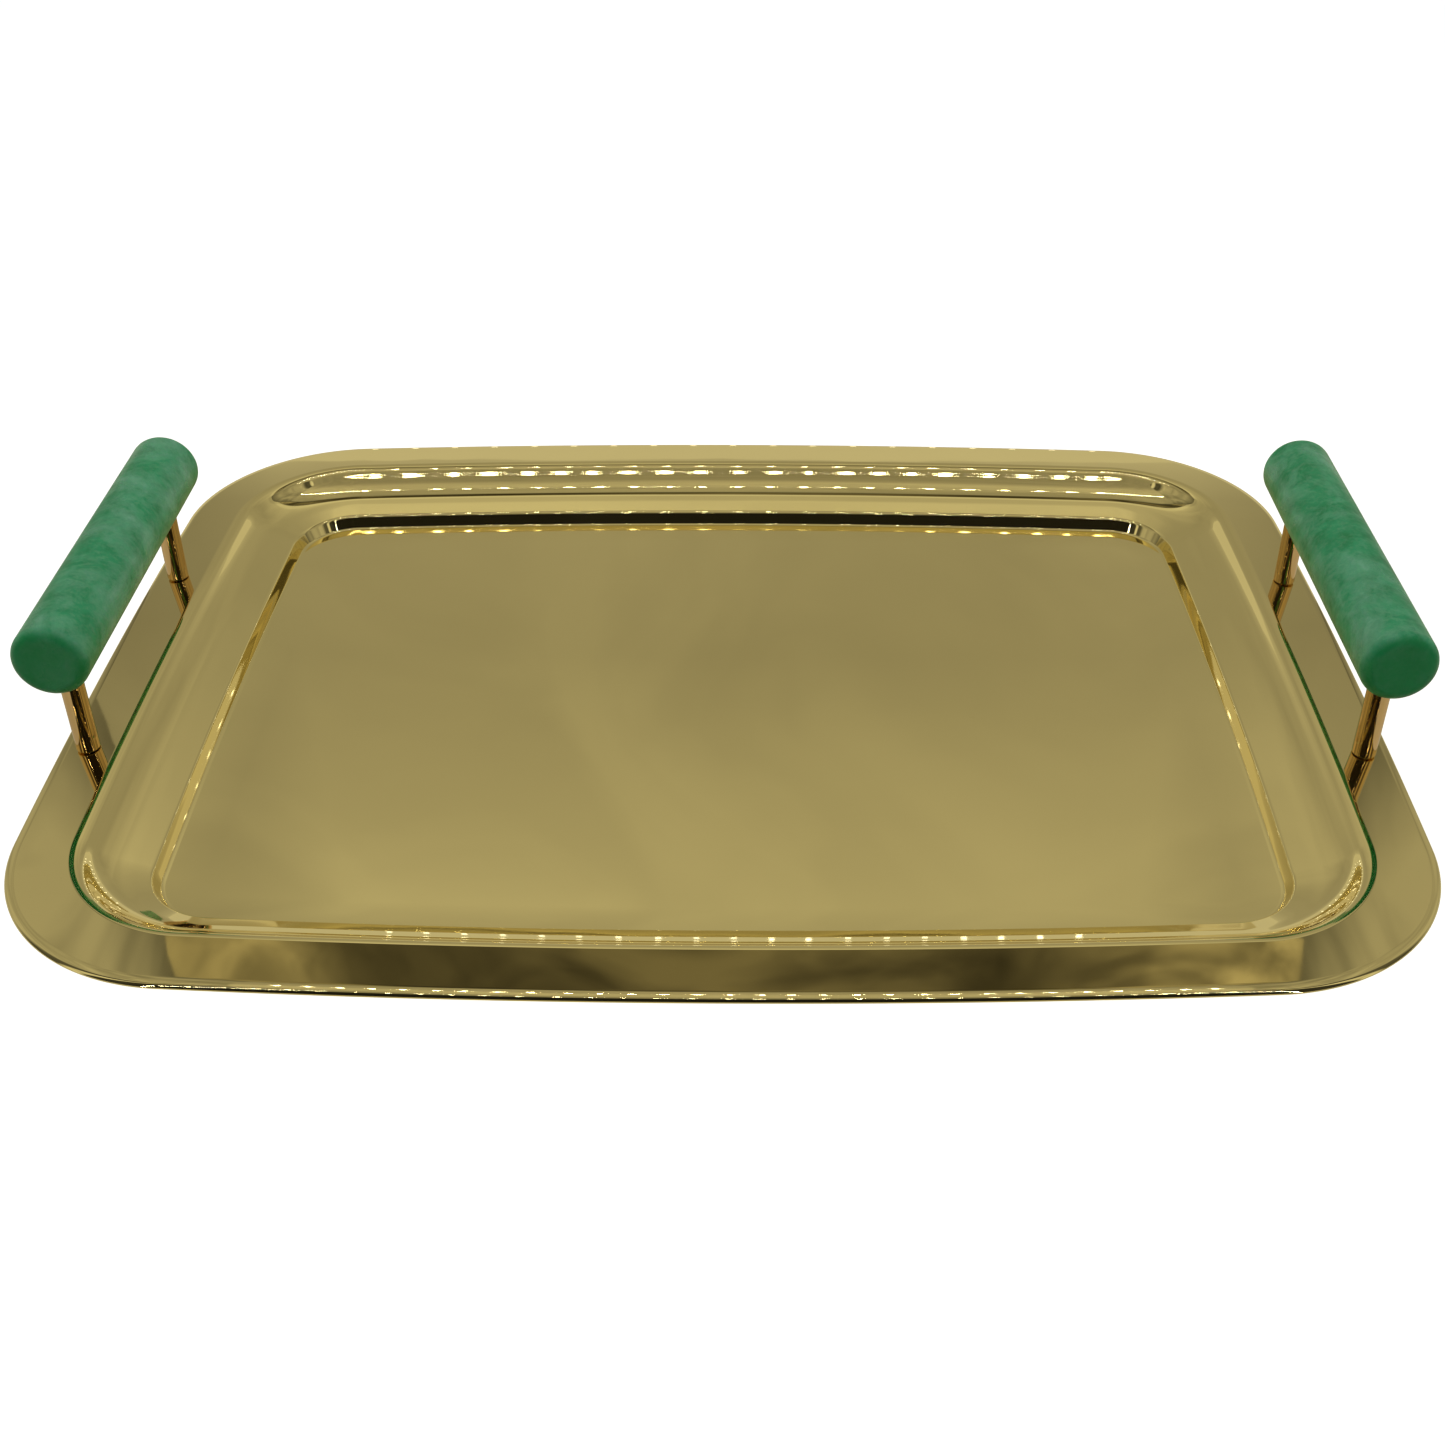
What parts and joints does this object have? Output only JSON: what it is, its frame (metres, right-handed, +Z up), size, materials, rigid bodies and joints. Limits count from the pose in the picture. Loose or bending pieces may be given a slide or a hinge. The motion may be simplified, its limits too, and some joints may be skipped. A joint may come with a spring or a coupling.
{
  "type": "serving tray",
  "caption": "Rectangular pressed brass tray with a turned-down edge, flat rim, stepped well and a green stone bar handle on brass posts at each short side.",
  "frame": {"origin": "on the supporting surface under the middle of the tray's floor", "axes": "+X along the tray's length from the left handle to the right one, +Y from front to back, +Z up"},
  "size_m": [0.4614, 0.353, 0.0747],
  "materials": {
    "polished_brass": "mirror polished",
    "screw_brass": "turned, unpolished",
    "green_stone": "polished, cloudy"
  },
  "bodies": {
    "root": {"tray_pan": "polished_brass", "handle_bar_left": "green_stone", "handle_bar_right": "green_stone", "post_left_front": "polished_brass", "post_left_back": "polished_brass", "post_right_front": "polished_brass", "post_right_back": "polished_brass", "insert_left_front": "screw_brass", "insert_left_back": "screw_brass", "insert_right_front": "screw_brass", "insert_right_back": "screw_brass", "washer_left_front": "screw_brass", "washer_left_back": "screw_brass", "washer_right_front": "screw_brass", "washer_right_back": "screw_brass", "screw_left_front": "screw_brass", "screw_left_back": "screw_brass", "screw_right_front": "screw_brass", "screw_right_back": "screw_brass"}
  },
  "joints": []
}
